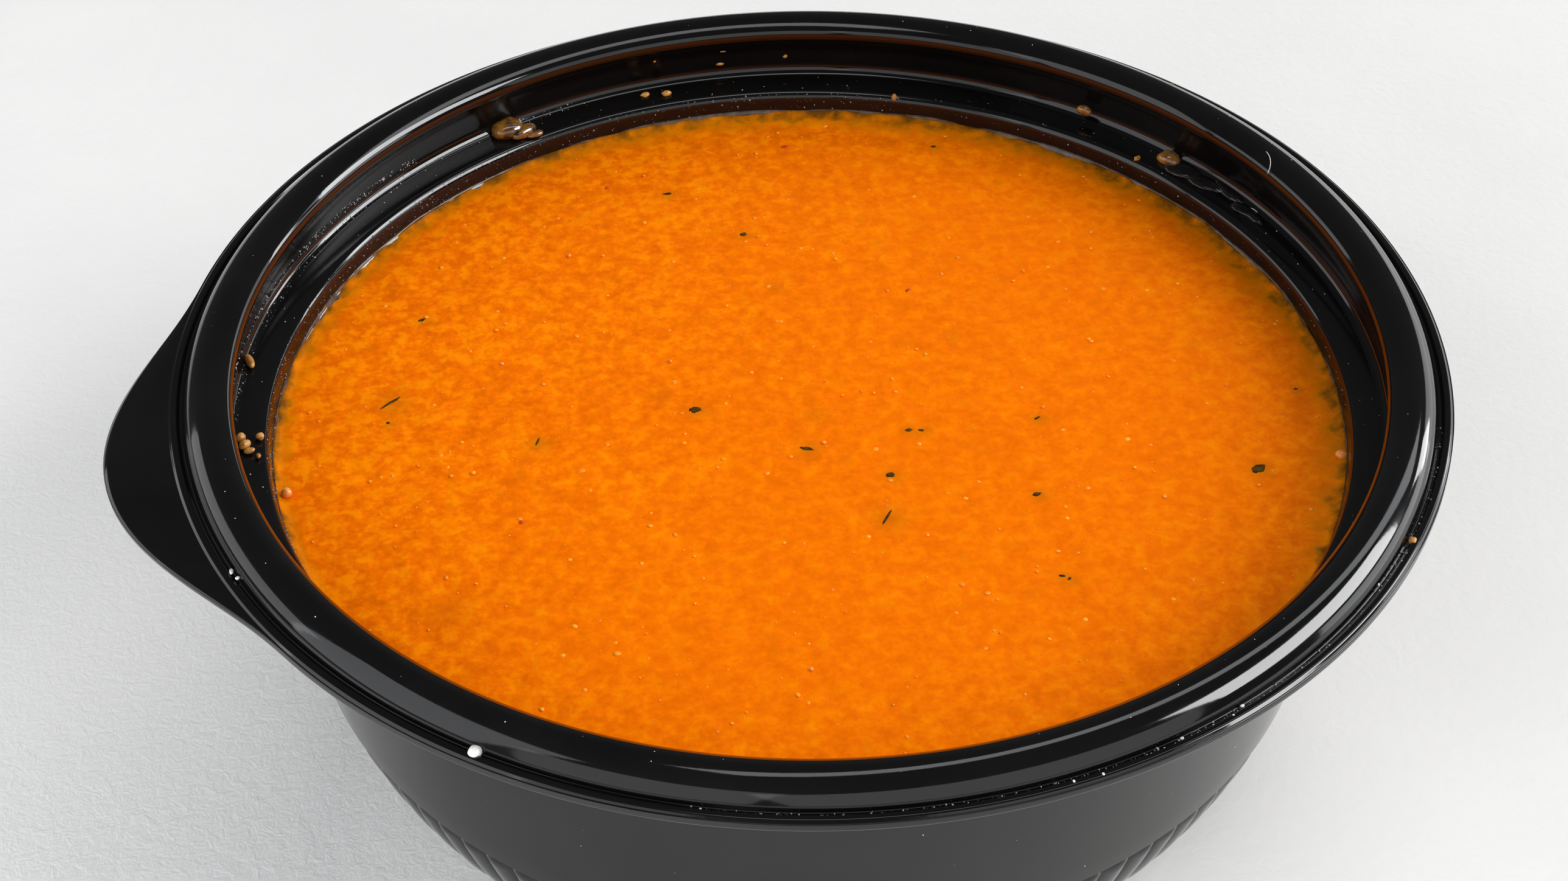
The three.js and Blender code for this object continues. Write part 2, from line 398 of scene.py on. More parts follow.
def beadPath():
    # a rounded nose at the mouth, a slope flattening towards the crest, a round outer side
    b = bowl
    points = [(r, z, 0) for r, z in b["nose"]]
    start, low = b["nose"][-1]
    for share in np.linspace(0, 1, 13)[1:-1]:
        r = start + (b["crest"] - start) * share
        points.append((r, b["rimHeight"] - (b["rimHeight"] - low) * (1 - share) ** 2, 0))
    for angle in np.arange(90, b["beadEnd"] - 1, -4.0):
        c, s = cosSin(angle)
        points.append((b["crest"] + b["beadRound"] * c, b["rimHeight"] - b["beadRound"] * (1 - s), 0))
    return points


def bowlPath():
    b = bowl
    depth = reeds["depth"]
    # inside: floor, lower wall, ledge, upper wall
    inside = [(0, b["wallThickness"], 0)]
    for share in np.linspace(1, 0, 9):
        r, z = lowerWall(share)
        inside.append((r - b["wallThickness"] - depth, z + b["wallThickness"], 0))
    inside += [(*b["wallLow"], 3.0), (*b["ledgeInner"], 1.4), (*b["ledgeOuter"], 1.7)]
    # a shallow groove, then the lip with its rounded top and the flange's outer edge
    grooveR, grooveZ = b["groove"]
    lipR, lipZ = b["lipCrest"]
    rim = [
        (grooveR - 0.1, grooveZ, 0.12), (grooveR + 0.22, grooveZ, 0.15),
        (lipR - 0.45, lipZ, 0.35), (lipR + 0.3, lipZ, 0.4),
        (b["lipEnd"] - 0.02, b["flangeTop"], 0.12), (b["lipEnd"] + 0.06, b["flangeTop"], 0),
        (b["flange"] - 0.02, b["flangeTop"], 0), (b["flange"], b["flangeTop"] - 0.2, 0),
        (b["flange"], b["flangeUnder"] + 0.15, 0), (b["flange"] - 0.02, b["flangeUnder"], 0),
        (b["lipEnd"], b["flangeUnder"], 0),
    ]
    # outside: skirt behind the ledge, band, step, wall behind the reeds, base
    skirt = b["ledgeOuter"][0] + b["wallThickness"]
    outside = [
        (skirt, b["flangeUnder"], 0.5), (skirt, b["bandTop"][1] + 0.8, 0.8),
        (*b["bandTop"], 0.6), (*b["bandBottom"], 0.3),
        (b["bandBottom"][0] - b["stepDepth"] - depth, b["bandBottom"][1] - 0.6, 0.2),
    ]
    for share in np.linspace(0.06, 1, 12):
        r, z = lowerWall(share)
        outside.append((r - depth * float(smoothStep(1.0, reeds["fade"], share)), z, 0))
    outside += [(58.0, 0.0, 0.4), (57.0, 0.5, 0.4), (0, 0.5, 0)]
    return subdividePath(roundedPath(inside + beadPath() + rim + outside, b["arcStep"]), b["longest"])


def tabShape(points):
    # pulls the edge of the flange out into the tab; the lip runs on round the bowl above it
    b = bowl
    radius = np.hypot(points[..., 0], points[..., 1])
    turn = np.degrees(np.arctan2(points[..., 1], -points[..., 0]))
    bell = np.where(np.abs(turn) < b["tabHalfSpan"],
                    np.cos(np.clip(turn / b["tabHalfSpan"], -1, 1) * math.pi / 2) ** 2, 0)
    share = np.clip((radius - b["lipEnd"]) / (b["flange"] - b["lipEnd"]), 0, 1)
    grown = radius + share * bell * b["tabReach"]
    out = points.copy()
    out[..., 0] *= grown / radius
    out[..., 1] *= grown / radius
    return out


def innerWall(height):
    # the inside's radius at a height between the floor and the ledge
    (r0, z0), (r1, z1) = bowl["wallLow"], bowl["ledgeInner"]
    return r0 + (r1 - r0) * (height - z0) / (z1 - z0)


# where the plastic is dull: heights of the upper wall, radii of the ledge, the wall under the ledge's edge
# and the outside below the rim, which is dustier at the left
dull = {
    "wall": (53.0, 53.8, 59.4, 60.2), "wallRadius": 83.9,
    "ledge": (78.6, 80.6, 81.6, 82.4), "ledgeTop": 53.0, "ledgeShare": 0.5,
    "underEdge": (50.6, 50.2), "underRadius": 77.6, "lowest": 46,
    "dust": 0.35, "leftDust": 0.4, "leftReach": 60.0, "dustTop": 50.0,
}


def dullAt(points):
    # from 0 to 1: misty inside above the soup, a little dusty outside
    d = dull
    radius, height = np.hypot(points[:, 0], points[:, 1]), points[:, 2]
    wall = plateau(*d["wall"], height) * (radius < d["wallRadius"])
    ledge = plateau(*d["ledge"], radius) * (height < d["ledgeTop"])
    under = smoothStep(*d["underEdge"], height) * (radius < d["underRadius"])
    inside = (wall + d["ledgeShare"] * ledge + under) * (height > d["lowest"])
    dusty = d["dust"] + d["leftDust"] * np.clip(-points[:, 0] / d["leftReach"], 0, 1)
    middle = innerWall(height) + bowl["wallThickness"] / 2
    outside = dusty * (height < d["dustTop"]) * (radius > middle)
    return np.where(outside > 0, outside, inside)


def spotsOf(piece):
    # vertex positions in millimetres
    flat = np.zeros(len(piece.data.vertices) * 3)
    piece.data.vertices.foreach_get("co", flat)
    return flat.reshape(-1, 3) / mm


def addAttribute(piece, label, values):
    attribute = piece.data.attributes.new(label, "FLOAT", "POINT")
    attribute.data.foreach_set("value", values.astype(np.float32))


shell = revolve("bowlShell", bowlPath(), bowl["segments"], blackPlastic, tabShape)
addAttribute(shell, "dull", dullAt(spotsOf(shell)))
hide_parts("bowl")
keep(shell)
print("bowl shell made", len(shell.data.vertices))


def newTree(name, inputs):
    tree = bpy.data.node_groups.new(name, "GeometryNodeTree")
    kinds = {float: "NodeSocketFloat", int: "NodeSocketInt"}
    for label, value in inputs.items():
        isMaterial = isinstance(value, bpy.types.Material)
        kind = "NodeSocketMaterial" if isMaterial else kinds[type(value)]
        socket = tree.interface.new_socket(label, in_out="INPUT", socket_type=kind)
        socket.default_value = value
    tree.interface.new_socket("Geometry", in_out="OUTPUT", socket_type="NodeSocketGeometry")
    return tree, tree.nodes.new("NodeGroupInput").outputs


def vectorCalc(tree, operation, first, second=(0, 0, 0)):
    node = addNode(tree, "ShaderNodeVectorMath", {"operation": operation}, {0: first, 1: second})
    return node.outputs[0]


def scaled(tree, vector, factor):
    node = addNode(tree, "ShaderNodeVectorMath", {"operation": "SCALE"}, {0: vector, "Scale": factor})
    return node.outputs[0]


def vectorOf(tree, x=0.0, y=0.0, z=0.0):
    return addNode(tree, "ShaderNodeCombineXYZ", None, {"X": x, "Y": y, "Z": z}).outputs[0]


def finishTree(tree, geometry, material):
    real = addNode(tree, "GeometryNodeRealizeInstances", None, {"Geometry": geometry})
    smooth = addNode(tree, "GeometryNodeSetShadeSmooth", None, {"Geometry": real.outputs[0]})
    painted = addNode(tree, "GeometryNodeSetMaterial", None, {
        "Geometry": smooth.outputs[0], "Material": material})
    out = tree.nodes.new("NodeGroupOutput")
    tree.links.new(painted.outputs[0], out.inputs[0])


def grow(name, tree, values):
    # runs the tree once and keeps its result as a plain mesh
    piece = addObject(name, bpy.data.meshes.new(name))
    modifier = piece.modifiers.new("grow", "NODES")
    modifier.node_group = tree
    for item in tree.interface.items_tree:
        if item.in_out == "INPUT" and item.name in values:
            modifier[item.identifier] = values[item.name]
    graph = bpy.context.evaluated_depsgraph_get()
    mesh = bpy.data.meshes.new_from_object(piece.evaluated_get(graph))
    piece.modifiers.clear()
    piece.data = mesh
    mesh.name = name
    keep(piece)
    return piece


def reedTree():
    # one reed is a closed box bent onto the wall's curve; it is then turned round the axis
    inputs = {"Count": reeds["count"], "Turn": 0.0, "Depth": 0.001, "Half Width": 0.002,
              "Across": reeds["across"], "Along": reeds["along"], "Fullness": reeds["fullness"],
              "Dome": reeds["dome"], "Material": blackPlastic}
    tree, given = newTree("reeds", inputs)
    wall = [Vector((r, 0, z)) * mm for r, z in wallControl()]
    curve = addNode(tree, "GeometryNodeCurvePrimitiveBezierSegment", {"mode": "POSITION"}, {
        "Resolution": 48, "Start": wall[0], "Start Handle": wall[1],
        "End Handle": wall[2], "End": wall[3]})
    block = addNode(tree, "GeometryNodeMeshCube", None, {
        "Size": (1, 1, 1), "Vertices X": 2, "Vertices Y": given["Across"], "Vertices Z": given["Along"]})
    place = addNode(tree, "ShaderNodeSeparateXYZ", None, {
        "Vector": addNode(tree, "GeometryNodeInputPosition").outputs[0]})
    along = calc(tree, "SUBTRACT", 0.5, place.outputs["Z"])
    share = times(tree, calc(tree, "POWER", along, reeds["gather"]), reeds["reach"])
    sample = addNode(tree, "GeometryNodeSampleCurve", {"mode": "FACTOR", "use_all_curves": True}, {
        "Curves": curve.outputs[0], "Factor": share})
    side = vectorCalc(tree, "CROSS_PRODUCT", sample.outputs["Tangent"], (0.0, 1.0, 0.0))
    outward = vectorCalc(tree, "NORMALIZE", side)
    radius = addNode(tree, "ShaderNodeSeparateXYZ", None, {"Vector": sample.outputs["Position"]})
    narrowing = calc(tree, "DIVIDE", radius.outputs["X"], wall[0].x)
    # the dome narrows and sinks over the first part of the way
    dome = calc(tree, "POWER", spread(tree, share, 0.0, given["Dome"]), 0.5)
    width = times(tree, times(tree, given["Half Width"], narrowing),
                  calc(tree, "MULTIPLY_ADD", dome, 1 - reeds["domeWidth"], reeds["domeWidth"]))
    u = times(tree, place.outputs["Y"], 2.0)
    bulge = calc(tree, "SUBTRACT", 1.0, calc(tree, "POWER", calc(tree, "ABSOLUTE", u), given["Fullness"]))
    fade = spread(tree, share, 1.0, reeds["fade"], kind="SMOOTHSTEP")
    groove = times(tree, given["Depth"], fade)
    lift = times(tree, times(tree, bulge, dome), groove)
    front = calc(tree, "GREATER_THAN", place.outputs["X"], 0.0)
    outside = calc(tree, "SUBTRACT", lift, groove)
    inside = calc(tree, "SUBTRACT", times(tree, groove, -1.0), reeds["sunk"] * mm)
    offset = calc(tree, "ADD", times(tree, front, outside),
                  times(tree, calc(tree, "SUBTRACT", 1.0, front), inside))
    spot = vectorCalc(tree, "ADD", sample.outputs["Position"], scaled(tree, outward, offset))
    spot = vectorCalc(tree, "ADD", spot, vectorOf(tree, y=times(tree, u, width)))
    reed = addNode(tree, "GeometryNodeSetPosition", None, {
        "Geometry": block.outputs["Mesh"], "Position": spot})
    dots = addNode(tree, "GeometryNodePoints", None, {"Count": given["Count"]})
    index = addNode(tree, "GeometryNodeInputIndex").outputs[0]
    turn = calc(tree, "DIVIDE", times(tree, index, 2 * math.pi), given["Count"])
    turn = calc(tree, "ADD", turn, given["Turn"])
    ring = addNode(tree, "GeometryNodeInstanceOnPoints", None, {
        "Points": dots.outputs[0], "Instance": reed.outputs[0], "Rotation": vectorOf(tree, z=turn)})
    finishTree(tree, ring.outputs[0], given["Material"])
    return tree


reedHalfWidth = math.pi * wallControl()[0][0] / reeds["count"] * (1 - reeds["gap"])
reedRing = grow("reedRing", reedTree(), {
    "Turn": math.radians(reeds["turn"]), "Depth": reeds["depth"] * mm, "Half Width": reedHalfWidth * mm})
turnOutward(reedRing)
print("reeds made", len(reedRing.data.polygons))


soup = {
    "level": 47.7, "clearance": 0.02, "bottomGap": 0.3,
    "meniscusHeight": 0.6, "meniscusWidth": 1.6,
    "meniscusSteps": 8, "meniscusBend": 2.4, "wallRows": (24.0, 40.0),
    "rings": 190, "segments": 420,
    "clump": 3.4, "clumpRise": 0.085, "grain": 1.3, "grainRise": 0.045, "swell": 11.0, "swellRise": 0.07,
    "seed": 41, "edgeWaves": ((0.22, 24, 90), (0.12, 80, 91)),
}

soupEdge = innerWall(soup["level"] + soup["meniscusHeight"]) - soup["clearance"]


def softNoise(x, y, cell, seed):
    # smooth random field from -1 to 1 with features about one cell wide
    table = np.random.default_rng(seed).uniform(-1, 1, (256, 256))
    u, v = x / cell + 1000, y / cell + 1000
    i, j = np.floor(u).astype(int), np.floor(v).astype(int)
    a, b = u - i, v - j
    a, b = a * a * (3 - 2 * a), b * b * (3 - 2 * b)
    i0, j0, i1, j1 = i % 256, j % 256, (i + 1) % 256, (j + 1) % 256
    low = table[i0, j0] * (1 - a) + table[i1, j0] * a
    high = table[i0, j1] * (1 - a) + table[i1, j1] * a
    return low * (1 - b) + high * b


def wave(angle, waves, seed):
    # a closed wavy line round the bowl, from -1 to 1, with about this many waves
    x, y = np.cos(angle) * waves / 2, np.sin(angle) * waves / 2
    return softNoise(x, y, 1.0, seed)


def waveSum(angle, parts):
    # parts are (size, waves, seed)
    return sum(size * wave(angle, waves, seed) for size, waves, seed in parts)


def soupRelief(x, y):
    s = soup
    seed = s["seed"]
    swell = s["swellRise"] * softNoise(x, y, s["swell"], seed)
    # turned copies of the field hide its square cells
    c, k = math.cos(0.6), math.sin(0.6)
    clump = softNoise(x * c - y * k, x * k + y * c, s["clump"], seed + 1)
    clump = clump + 0.6 * softNoise(x, y, s["clump"] * 0.55, seed + 2)
    grain = softNoise(x * k + y * c, y * k - x * c, s["grain"], seed + 3)
    grain = grain + 0.6 * softNoise(x, y, s["grain"] * 0.5, seed + 4)
    calm = 1 - smoothStep(0.955, 1.0, np.hypot(x, y) / soupEdge)
    return (swell + s["clumpRise"] * clump + s["grainRise"] * grain) * calm


# herb and pepper on the soup: place, length, width and turn of each bit
herbs = {
    "bits": [
        (-6.1, 58.4, 1.5, 0.7, -10), (2.5, 44.3, 1.2, 0.9, 30), (-50.0, 37.3, 1.1, 0.6, 10),
        (-58.2, 19.1, 3.6, 0.45, 30), (-59.2, 14.7, 0.6, 0.5, 0), (-15.9, 4.8, 1.6, 1.4, 4),
        (-2.7, -8.2, 2.0, 0.8, -35), (6.8, -17.0, 1.4, 1.1, 0), (12.4, -8.4, 1.2, 0.6, 5),
        (14.2, -8.9, 0.9, 0.5, -20), (25.3, -26.9, 1.3, 0.8, 0), (3.7, -25.4, 3.2, 0.4, 50),
        (57.3, -30.7, 2.2, 1.6, 15), (22.8, -43.6, 0.9, 0.5, -30), (23.5, -44.4, 0.7, 0.4, 40),
        (39.0, 58.8, 0.9, 0.6, 0), (-39.5, 4.2, 2.2, 0.3, 60), (31.2, -11.2, 1.1, 0.5, 20),
        (69.7, -15.9, 0.6, 0.4, 0),
    ],
    # bits that lie under the skin: place, reach and depth of their stain
    "sunk": [(0.6, -1.4, 2.0, 0.28), (3.8, 29.9, 1.6, 0.25), (25.6, 10.3, 1.5, 0.25),
             (-58.2, -26.6, 4.0, 0.2), (-19.5, 9.5, 2.4, 0.18)],
    # rings of corners of one bit: size, height in units of standout, and jitter of the size
    "layers": ((1.0, -0.25, 0.22), (1.0, 0.2, 0.22), (0.62, 0.8, 0.1)),
    "standout": 0.11, "sides": 13, "seed": 5,
}


def stainAt(x, y):
    # the soup looks olive round a bit of herb and where one lies under its skin
    stain = np.zeros_like(x)
    for bx, by, length, width, _ in herbs["bits"]:
        reach = 0.8 + 0.5 * max(length, width)
        away = np.hypot(x - bx - 0.3, y - by + 0.4)
        stain = np.maximum(stain, 0.5 * np.exp(-(away / reach) ** 2))
    for bx, by, reach, depth in herbs["sunk"]:
        stain = np.maximum(stain, depth * np.exp(-(np.hypot(x - bx, y - by) / reach) ** 2))
    return stain


# how far the bowl is turned from facing the camera with its tab at the left
viewTurn = 16.2

# how wide the thin yellowish margin is round the wall, by direction as the camera sees it; the margin is
# partly the soup's own thin edge and partly painted shade, the rim's shadow on the soup, so it is widest at
# the back and right
marginAndShade = {"front": 0.5, "back": 6.0, "left": 3.6, "right": 4.8, "vary": 0.25, "waves": 9, "seed": 77}


def marginAndShadeWidth(x, y):
    turn = np.radians(np.degrees(np.arctan2(y, x)) + viewTurn)
    c, s = np.cos(turn), np.sin(turn)
    parts = {"right": c, "left": -c, "back": s, "front": -s}
    width = sum(marginAndShade[side] * np.clip(part, 0, 1) ** 2 for side, part in parts.items())
    return width * (1 + marginAndShade["vary"] * wave(turn, marginAndShade["waves"], marginAndShade["seed"]))


# 0 at the inner side of the margin to 1 at the wall; it carries the rim's painted shade as well as the thin
# edge
def shoreAndShadeAt(x, y):
    return np.clip(1 - (soupEdge - np.hypot(x, y)) / marginAndShadeWidth(x, y), 0, 1)


# the pulp shows least, and how much more towards one side and the wall
mottle = {"least": 0.4, "side": 0.45, "wall": 0.2, "direction": 139}


def mottleAt(x, y):
    m = mottle
    c, s = cosSin(m["direction"])
    toward = (x * c + y * s) / soupEdge
    radius = np.hypot(x, y) / soupEdge
    return m["least"] + m["side"] * smoothStep(-0.2, 0.9, toward) + m["wall"] * smoothStep(0.7, 1.0, radius)


def soupPath():
    s = soup
    inset = bowl["wallThickness"] + reeds["depth"] + s["bottomGap"]
    floor = bowl["wallThickness"] + s["bottomGap"]
    path = [(0, floor)]
    for share in np.linspace(1, 0, 5):
        r, z = lowerWall(share)
        path.append((r - inset, z + floor))
    for height in s["wallRows"]:
        path.append((innerWall(height) - s["bottomGap"], height))
    top = s["level"] + s["meniscusHeight"]
    path.append((soupEdge, top - 0.25))
    # the meniscus sinks from the wall to the level as a concave fillet
    for k in range(s["meniscusSteps"] + 1):
        share = k / s["meniscusSteps"]
        path.append((soupEdge - 0.05 - s["meniscusWidth"] * share,
                     s["level"] + s["meniscusHeight"] * (1 - share) ** s["meniscusBend"]))
    start = path[-1][0]
    for k in range(1, s["rings"]):
        path.append((start * (1 - k / s["rings"]), s["level"]))
    path.append((0, s["level"]))
    return path


def soupShape(points):
    x, y, z = points[..., 0], points[..., 1], points[..., 2]
    onTop = z > soup["level"] - 0.3
    out = points.copy()
    turn = np.arctan2(y, x)
    climb = smoothStep(soup["level"] + 0.05, soup["level"] + soup["meniscusHeight"], z)
    wobble = waveSum(turn, soup["edgeWaves"])
    out[..., 2] = np.where(onTop, z + soupRelief(x, y) + climb * wobble, z)
    return out


soupBody = revolve("soupBody", soupPath(), soup["segments"], tomatoSoup, soupShape)
spots = spotsOf(soupBody)
for label, rule in (("stain", stainAt), ("shoreAndShade", shoreAndShadeAt), ("mottle", mottleAt)):
    addAttribute(soupBody, label, rule(spots[:, 0], spots[:, 1]))
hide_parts("soup")
keep(soupBody)
print("soup made", len(soupBody.data.polygons))


def levelAt(x, y):
    return soup["level"] + float(soupRelief(np.array([x]), np.array([y]))[0])


def herbPieces():
    # each bit is a thin crumpled flake, a rim of jittered corners round a raised middle
    chance = random.Random(herbs["seed"])
    vertices, faces = [], []
    for bx, by, length, width, turn in herbs["bits"]:
        ground = levelAt(bx, by)
        c, k = cosSin(turn)
        sides = herbs["sides"]
        start = len(vertices)
        for size, lift, jitter in herbs["layers"]:
            for corner in range(sides):
                angle = 2 * math.pi * corner / sides
                rough = 1 + chance.uniform(-jitter, jitter)
                u = 0.5 * length * size * rough * math.cos(angle)
                v = 0.5 * width * size * rough * math.sin(angle)
                z = ground + herbs["standout"] * (lift + chance.uniform(-0.12, 0.12))
                vertices.append(((bx + u * c - v * k) * mm, (by + u * k + v * c) * mm, z * mm))
        vertices.append((bx * mm, by * mm, (ground + herbs["standout"]) * mm))
        vertices.append((bx * mm, by * mm, (ground - 0.5 * herbs["standout"]) * mm))
        top, bottom = len(vertices) - 2, len(vertices) - 1
        for layer in range(2):
            faces += quadRow(start + layer * sides, start + (layer + 1) * sides, sides, True)
        faces += fan(top, start + 2 * sides, sides) + fan(bottom, start, sides, True)
    return vertices, faces


herbFlakes = newObject("herbFlakes", *herbPieces(), herbGreen)
keep(herbFlakes)
print("herb flakes made")


# the section's points run from the wall inwards: in widths and heights of the line, except below the level
serumLine = {
    "width": 0.55, "vary": 0.4, "narrowest": 0.12, "widest": 2, "height": 0.75, "segments": 900,
    "widthWaves": ((0.7, 40, 15), (0.5, 110, 16)), "heightWaves": ((0.25, 30, 17),), "steepness": 0.15,
    "section": ((0, -0.2), (0, 1.0), (0.16, 0.62), (0.42, 0.3), (0.75, 0.14), (1.0, 0.05), (1.05, -0.2)),
}


def serumPiece():
    # the watery line where the soup meets the wall: a wavy fillet with a closed section
    s = serumLine
    count = s["segments"]
    angle = np.linspace(0, 2 * math.pi, count, endpoint=False)
    width = s["width"] + s["vary"] * waveSum(angle, s["widthWaves"])
    width = np.clip(width, s["narrowest"], s["widest"])
    height = s["height"] + waveSum(angle, s["heightWaves"]) + s["steepness"] * width
    level = soup["level"]
    edge = innerWall(level + soup["meniscusHeight"]) + soup["clearance"]
    vertices, faces = [], []
    for inward, up in s["section"]:
        r = edge - inward * width
        z = level + 0.05 + np.where(up > 0, up * height, up)
        vertices += list(zip(r * np.cos(angle) * mm, r * np.sin(angle) * mm, z * mm))
    rows = len(s["section"])
    for row in range(rows):
        faces += quadRow(row * count, (row + 1) % rows * count, count)
    return vertices, faces


serumRing = newObject("serumRing", *serumPiece(), serum)
turnOutward(serumRing)
keep(serumRing)


def blobPieces(rows, rough, seed):
    # closed lumps: place, the three half sizes and the turn about the upright axis
    rings, sides = 9, 16
    chance = random.Random(seed)
    vertices, faces = [], []
    for x, y, z, a, b, h, turn in rows:
        c, k = cosSin(turn)
        start = len(vertices)
        bumps = [(chance.uniform(-1, 1), chance.uniform(0, 2 * math.pi), chance.randint(2, 4))
                 for _ in range(3)]
        for ring in range(1, rings):
            tilt = math.pi * ring / rings
            for side in range(sides):
                angle = 2 * math.pi * side / sides
                wobble = sum(size * math.sin(count * angle + phase + tilt * 2)
                             for size, phase, count in bumps)
                swollen = 1 + rough * wobble / 2
                u = a * math.sin(tilt) * math.cos(angle) * swollen
                v = b * math.sin(tilt) * math.sin(angle) * swollen
                w = h * math.cos(tilt) * (1 + rough * chance.uniform(-0.3, 0.3))
                vertices.append(((x + u * c - v * k) * mm, (y + u * k + v * c) * mm, (z + w) * mm))
        vertices.append((x * mm, y * mm, (z + h) * mm))
        vertices.append((x * mm, y * mm, (z - h) * mm))
        top, bottom = len(vertices) - 2, len(vertices) - 1
        for ring in range(rings - 2):
            faces += quadRow(start + ring * sides, start + (ring + 1) * sides, sides)
        faces += fan(top, start, sides) + fan(bottom, start + (rings - 2) * sides, sides, True)
    return vertices, faces


# splashes and crumbs left on the ledge, wall and rim: place, half sizes, turn
leftovers = {
    "sauceDrops": {"material": sauceDrop, "rough": 0.2, "seed": 3, "slot": "soup", "rows": [
        (-28.0, 76.4, 52.9, 2.9, 2.2, 1.5, 20), (-25.6, 75.4, 52.5, 2.4, 1.3, 1.0, 30),
        (-23.9, 74.7, 52.2, 1.5, 0.8, 0.5, 10),
        (71.6, 38.2, 52.4, 2.0, 1.6, 1.2, -62), (62.3, 52.0, 54.6, 1.4, 0.8, 0.9, -50),
    ]},
    "ledgeDrips": {"material": clearWater, "rough": 0.3, "seed": 8, "slot": "black_plastic", "rows": [
        (73.0, 35.0, 51.9, 3.6, 2.2, 0.75, -65), (75.0, 30.6, 51.9, 3.8, 1.7, 0.6, -60),
        (77.6, 27.6, 52.1, 3.6, 1.5, 0.55, -74), (77.9, 21.8, 52.0, 3.4, 1.2, 0.45, -70),
    ]},
    "sauceCrumbs": {"material": driedSauce, "rough": 0.35, "seed": 12, "slot": "soup", "rows": [
        (-76.7, 28.4, 52.7, 1.6, 0.62, 0.6, -80), (-77.7, 11.6, 52.2, 0.6, 0.58, 0.55, 0),
        (-80.4, 11.2, 52.9, 0.8, 0.7, 0.7, 60), (-80.1, 9.8, 52.7, 0.95, 0.7, 0.6, 30),
        (-79.6, 8.7, 52.4, 0.9, 0.5, 0.4, 10), (-78.5, 7.6, 52.1, 0.5, 0.35, 0.3, 70),
        (-1.7, 82.5, 57.3, 0.5, 0.25, 0.45, 0), (9.8, 81.9, 57.5, 1.1, 0.25, 0.4, -6),
        (9.4, 82.3, 54.7, 0.7, 0.25, 0.3, 0), (20.0, 80.0, 55.6, 0.4, 0.2, 0.3, 0),
        (-4.0, 80.6, 52.2, 0.7, 0.5, 0.4, 0), (-0.5, 80.0, 52.2, 0.8, 0.5, 0.5, 0),
        (35.5, 69.0, 51.5, 0.45, 0.45, 0.6, 0), (64.2, -61.9, 59.3, 0.7, 0.55, 0.5, 40),
        (73.9, 44.9, 61.6, 0.5, 0.4, 0.35, 30), (67.2, 40.6, 51.8, 0.7, 0.35, 0.4, 20),
    ]},
    "paleSplashes": {"material": paleDust, "rough": 0.12, "seed": 21, "slot": "black_plastic", "rows": [
        (-61.7, -64.0, 59.5, 0.95, 0.85, 0.8, 45), (-85.6, -23.5, 59.6, 0.5, 0.3, 0.25, 80),
        (-85.0, -25.0, 59.6, 0.35, 0.25, 0.25, 20),
        (30.6, -83.4, 59.4, 0.3, 0.22, 0.2, 10), (28.9, -84.6, 59.4, 0.2, 0.18, 0.2, 0),
        (21.4, -86.3, 59.3, 0.26, 0.22, 0.2, 0), (20.3, -87.0, 59.3, 0.22, 0.2, 0.2, 0),
        (18.7, -87.3, 59.3, 0.2, 0.18, 0.2, 0), (10.0, -89.2, 59.45, 0.18, 0.26, 0.2, 0),
        (6.2, -89.3, 59.45, 0.18, 0.26, 0.2, 0), (59.1, -65.5, 59.3, 0.25, 0.2, 0.2, 0),
        (56.2, -68.2, 59.3, 0.22, 0.22, 0.2, 0),
    ]},
    "wallBubbles": {"material": soupBubble, "rough": 0.02, "seed": 30, "slot": "soup", "rows": [
        (-75.7, 3.1, 48.2, 0.8, 0.8, 0.75, 0), (69.6, -31.7, 48.1, 0.7, 0.9, 0.6, 60),
        (-40.6, 23.3, 47.8, 0.32, 0.32, 0.25, 0), (-16.5, 16.7, 47.8, 0.3, 0.3, 0.25, 0),
        (-25.0, 46.7, 47.8, 0.34, 0.34, 0.25, 0), (-15.1, -51.0, 47.8, 0.3, 0.3, 0.25, 0),
    ]},
    "redSpots": {"material": redBit, "rough": 0.3, "seed": 34, "slot": "soup", "rows": [
        (-45.3, -11.9, 47.75, 0.35, 0.3, 0.15, 0), (22.8, 23.1, 47.75, 0.5, 0.3, 0.12, 20),
        (-14.9, 62.8, 47.75, 0.4, 0.3, 0.12, 0), (15.7, 65.6, 47.75, 0.6, 0.35, 0.14, -10),
    ]},
}

for name, group in leftovers.items():
    lumps = newObject(name, *blobPieces(group["rows"], group["rough"], group["seed"]), group["material"])
    turnOutward(lumps)
    keep(lumps)
print("drops and crumbs made")


